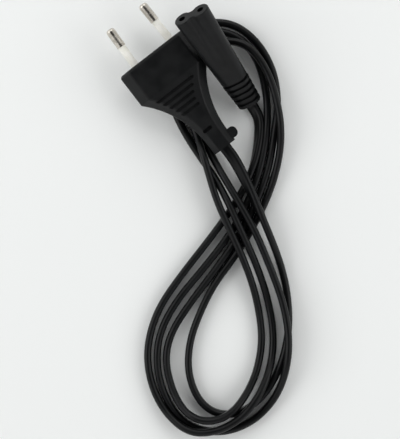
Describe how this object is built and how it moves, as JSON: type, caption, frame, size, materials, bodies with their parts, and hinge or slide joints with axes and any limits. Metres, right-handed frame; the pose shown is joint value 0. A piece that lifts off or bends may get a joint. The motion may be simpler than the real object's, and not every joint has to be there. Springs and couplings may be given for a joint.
{
  "type": "power cord",
  "caption": "Mains lead on a flat flex in loose loops, with a flared sleeved-pin plug at one end and a figure-eight appliance connector at the other.",
  "frame": {"origin": "on the surface the lead lies on, midway along X and along Y of the box round the plug and the connector", "axes": "+Z up from that surface; +Y towards the side where the pins point; +X to the right seen from above with +Y up"},
  "size_m": [0.0799, 0.1858, 0.0375],
  "materials": {
    "black_pvc": "satin moulded",
    "flex_pvc": "satin extruded",
    "nickel_plate": "nickel plated",
    "pin_sleeve": "matte",
    "carrier_nylon": "matte",
    "tinned_contact": "tinned",
    "brown_core": "matte",
    "blue_core": "matte",
    "copper": "bare copper"
  },
  "bodies": {
    "root": {"blue_core_connector_end": "blue_core", "blue_core_plug_end": "blue_core", "blue_strands_connector_end": "copper", "blue_strands_plug_end": "copper", "brown_core_connector_end": "brown_core", "brown_core_plug_end": "brown_core", "brown_strands_connector_end": "copper", "brown_strands_plug_end": "copper", "connector_body": "black_pvc", "connector_insert": "carrier_nylon", "cord": "flex_pvc", "left_contact": "tinned_contact", "left_pin": "nickel_plate", "left_pin_sleeve": "pin_sleeve", "pin_carrier": "carrier_nylon", "plug_body": "black_pvc", "right_contact": "tinned_contact", "right_pin": "nickel_plate", "right_pin_sleeve": "pin_sleeve"}
  },
  "joints": []
}
